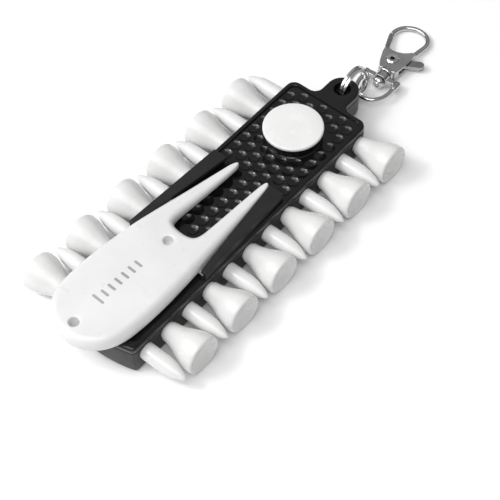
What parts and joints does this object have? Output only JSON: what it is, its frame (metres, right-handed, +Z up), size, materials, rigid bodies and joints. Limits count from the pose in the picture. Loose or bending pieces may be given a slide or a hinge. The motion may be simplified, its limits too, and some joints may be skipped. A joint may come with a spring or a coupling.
{
  "type": "divot repair tool set",
  "caption": "Flat golf tool holder with a sliding two-prong divot repair tool, lift-off ball marker, pull-out tees, split ring and swivel snap clasp.",
  "frame": {"origin": "bottom centre of the whole row's bounding box: the plane its tee heads lie on, midway across the tees and midway from the divot tool's handle end to the clasp's hook", "axes": "+X across the holder along the tees, +Y from the divot tool's handle end to the tab and clasp, +Z up out of the dimpled face"},
  "size_m": [0.0584, 0.1658, 0.0173],
  "materials": {
    "block_plastic": "black moulded, fine grain",
    "plate_plastic": "black moulded, satin to glossy, dimpled",
    "guide_plastic": "charcoal moulded, matte",
    "tool_plastic": "white moulded, smooth",
    "marker_plastic": "white moulded, smooth",
    "tee_plastic": "white moulded, smooth",
    "ring_steel": "bright nickel plate",
    "clasp_metal": "nickel plate",
    "rivet_metal": "bright nickel plate",
    "gate_metal": "nickel plate, a little darker"
  },
  "bodies": {
    "holder": {"tee_block": "block_plastic", "top_plate": "plate_plastic", "guide_left": "guide_plastic", "guide_right": "guide_plastic"},
    "tool": {"divot_tool": "tool_plastic"},
    "marker": {"ball_marker": "marker_plastic"},
    "tee_01_body": {"tee_01": "tee_plastic"},
    "tee_02_body": {"tee_02": "tee_plastic"},
    "tee_03_body": {"tee_03": "tee_plastic"},
    "tee_04_body": {"tee_04": "tee_plastic"},
    "tee_05_body": {"tee_05": "tee_plastic"},
    "tee_06_body": {"tee_06": "tee_plastic"},
    "tee_07_body": {"tee_07": "tee_plastic"},
    "tee_08_body": {"tee_08": "tee_plastic"},
    "tee_09_body": {"tee_09": "tee_plastic"},
    "tee_10_body": {"tee_10": "tee_plastic"},
    "tee_11_body": {"tee_11": "tee_plastic"},
    "tee_12_body": {"tee_12": "tee_plastic"},
    "ring": {"split_ring": "ring_steel"},
    "loop": {"swivel_loop": "clasp_metal"},
    "hook": {"hook_body": "clasp_metal", "swivel_stem": "clasp_metal", "gate_rivet": "rivet_metal"},
    "gate": {"gate_lever": "gate_metal"}
  },
  "joints": [
    {"name": "tool_slide", "type": "slide", "parent": "holder", "child": "tool", "axis": [0, -1, 0], "range_m": [0, 0.078]},
    {"name": "marker_lift", "type": "slide", "parent": "holder", "child": "marker", "axis": [0, 0, 1], "range_m": [0, 0.012]},
    {"name": "tee_01_pull", "type": "slide", "parent": "holder", "child": "tee_01_body", "axis": [-1, 0, 0], "range_m": [0, 0.05]},
    {"name": "tee_02_pull", "type": "slide", "parent": "holder", "child": "tee_02_body", "axis": [1, 0, 0], "range_m": [0, 0.05]},
    {"name": "tee_03_pull", "type": "slide", "parent": "holder", "child": "tee_03_body", "axis": [-1, 0, 0], "range_m": [0, 0.05]},
    {"name": "tee_04_pull", "type": "slide", "parent": "holder", "child": "tee_04_body", "axis": [1, 0, 0], "range_m": [0, 0.05]},
    {"name": "tee_05_pull", "type": "slide", "parent": "holder", "child": "tee_05_body", "axis": [-1, 0, 0], "range_m": [0, 0.05]},
    {"name": "tee_06_pull", "type": "slide", "parent": "holder", "child": "tee_06_body", "axis": [1, 0, 0], "range_m": [0, 0.05]},
    {"name": "tee_07_pull", "type": "slide", "parent": "holder", "child": "tee_07_body", "axis": [-1, 0, 0], "range_m": [0, 0.05]},
    {"name": "tee_08_pull", "type": "slide", "parent": "holder", "child": "tee_08_body", "axis": [1, 0, 0], "range_m": [0, 0.05]},
    {"name": "tee_09_pull", "type": "slide", "parent": "holder", "child": "tee_09_body", "axis": [-1, 0, 0], "range_m": [0, 0.05]},
    {"name": "tee_10_pull", "type": "slide", "parent": "holder", "child": "tee_10_body", "axis": [1, 0, 0], "range_m": [0, 0.05]},
    {"name": "tee_11_pull", "type": "slide", "parent": "holder", "child": "tee_11_body", "axis": [-1, 0, 0], "range_m": [0, 0.05]},
    {"name": "tee_12_pull", "type": "slide", "parent": "holder", "child": "tee_12_body", "axis": [1, 0, 0], "range_m": [0, 0.05]},
    {"name": "ring_turn", "type": "hinge", "parent": "holder", "child": "ring", "pos_m": [0, 0.03791, 0.00718], "axis": [0, 0, 1], "range_deg": [-60, 60]},
    {"name": "loop_swing", "type": "hinge", "parent": "ring", "child": "loop", "pos_m": [0, 0.04391, 0.00718], "axis": [1, 0, 0], "range_deg": [-20, 45]},
    {"name": "hook_swivel", "type": "hinge", "parent": "loop", "child": "hook", "pos_m": [0.0024, 0.05559, 0.00308], "axis": [-0.1042, 0.9916, -0.0767], "continuous": true},
    {"name": "gate_open", "type": "hinge", "parent": "hook", "child": "gate", "pos_m": [0.0004, 0.0641, 0.00241], "axis": [-0.008, 0.0763, 0.9971], "range_deg": [-25, 0], "stiffness_Nm_per_rad": 0.01, "springref_deg": 5.73}
  ]
}
